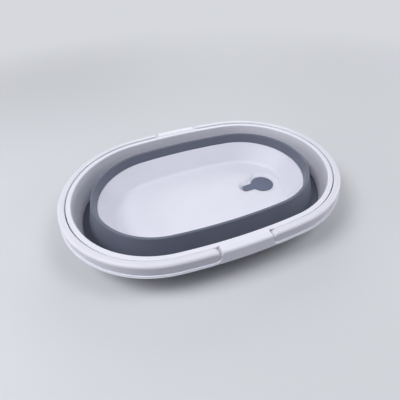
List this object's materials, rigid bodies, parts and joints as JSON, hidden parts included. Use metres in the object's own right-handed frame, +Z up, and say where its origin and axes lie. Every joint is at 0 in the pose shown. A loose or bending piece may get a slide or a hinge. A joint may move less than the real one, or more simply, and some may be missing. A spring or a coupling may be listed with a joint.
{
  "type": "collapsible bucket",
  "caption": "Oval collapsible bucket of the wash-tub kind, folded flat, with swing handles and a drain plug.",
  "frame": {"origin": "on the ground, below the middle of the folded tub", "axes": "+Z up, +X along the tub's long axis towards the drain, +Y towards its back side"},
  "size_m": [0.4642, 0.325, 0.0675],
  "materials": {
    "white_polypropylene": "moulded, satin",
    "grey_rubber": "moulded, matte"
  },
  "bodies": {
    "base": {"base_tray": "white_polypropylene", "fold_crest": "grey_rubber", "folding_wall": "grey_rubber", "foot_left_front": "grey_rubber", "foot_left_back": "grey_rubber", "foot_right_front": "grey_rubber", "foot_right_back": "grey_rubber"},
    "rim": {"rim_frame": "white_polypropylene"},
    "left_handle": {"handle_left": "white_polypropylene", "hinge_pin_left_front": "white_polypropylene", "hinge_pin_left_back": "white_polypropylene"},
    "right_handle": {"handle_right": "white_polypropylene", "hinge_pin_right_front": "white_polypropylene", "hinge_pin_right_back": "white_polypropylene"},
    "plug": {"drain_plug": "grey_rubber"}
  },
  "joints": [
    {"name": "rim_lift", "type": "slide", "parent": "base", "child": "rim", "axis": [0, 0, 1], "range_m": [0, 0.08], "deforming": ["folding_wall"]},
    {"name": "left_handle_swing", "type": "hinge", "parent": "rim", "child": "left_handle", "pos_m": [-0.0458, 0, 0.0593], "axis": [0, 1, 0], "range_deg": [0, 101]},
    {"name": "right_handle_swing", "type": "hinge", "parent": "rim", "child": "right_handle", "pos_m": [0.0458, 0, 0.0593], "axis": [0, -1, 0], "range_deg": [0, 101]},
    {"name": "plug_lift", "type": "slide", "parent": "base", "child": "plug", "axis": [0, 0, 1], "range_m": [0, 0.03]}
  ]
}
